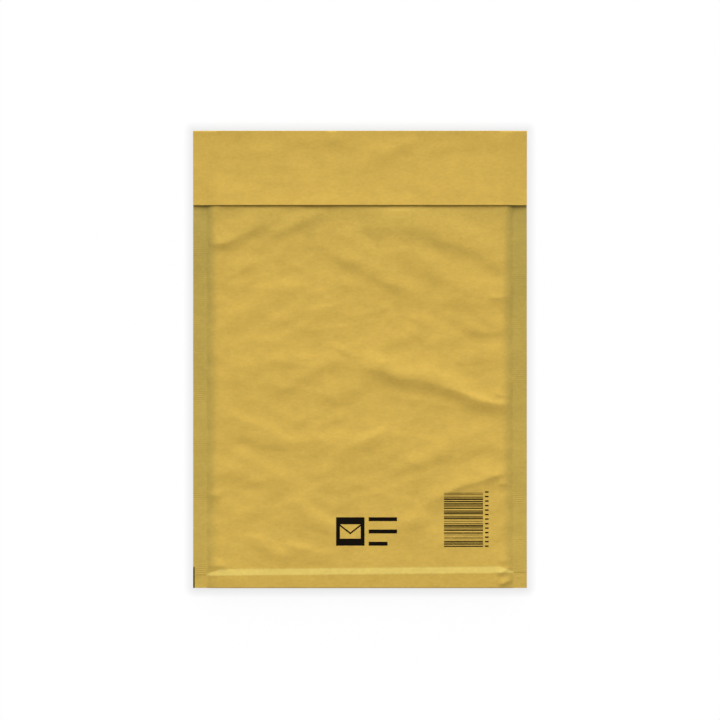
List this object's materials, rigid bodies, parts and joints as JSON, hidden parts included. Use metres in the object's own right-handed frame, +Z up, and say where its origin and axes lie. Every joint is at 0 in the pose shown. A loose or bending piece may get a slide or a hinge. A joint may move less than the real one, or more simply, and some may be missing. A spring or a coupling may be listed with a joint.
{
  "type": "padded envelope",
  "caption": "Flat kraft paper mailing envelope with a bubble-film lining, pressed side seams, a rolled bottom fold and a top flap folded over its creased front.",
  "frame": {"origin": "middle of the surface that the back lies on, under the middle of the envelope", "axes": "+X across the width, +Y along the length towards the flap's fold, +Z up out of the front"},
  "size_m": [0.2, 0.274, 0.0079],
  "materials": {
    "kraft_paper": "matt golden-brown kraft paper",
    "print_ink": "matt black print"
  },
  "bodies": {
    "root": {"padded_envelope": "kraft_paper"}
  },
  "joints": []
}
